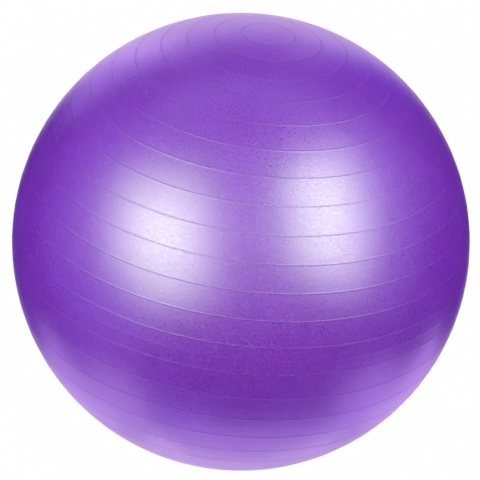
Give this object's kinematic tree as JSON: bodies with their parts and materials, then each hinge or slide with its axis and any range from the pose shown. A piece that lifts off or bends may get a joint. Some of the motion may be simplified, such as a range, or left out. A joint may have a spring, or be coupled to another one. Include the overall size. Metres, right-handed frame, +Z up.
{
  "type": "exercise ball",
  "caption": "Large inflated exercise ball with fine raised rings round its axis, a small flat rest patch and a plugged valve at the side.",
  "frame": {"origin": "middle of the flat patch that the ball rests on", "axes": "+Z up along the axis of the rings; +Y towards the side where the valve is"},
  "size_m": [0.6504, 0.6504, 0.6488],
  "materials": {
    "skin": "satin",
    "seat": "satin",
    "plug": "satin"
  },
  "bodies": {
    "ball": {"ball_shell": "skin", "valve_seat": "seat"},
    "plug": {"valve_plug": "plug"}
  },
  "joints": [
    {"name": "plug_pull", "type": "slide", "parent": "ball", "child": "plug", "axis": [0, 0.9998, 0.0218], "range_m": [0, 0.035]}
  ]
}
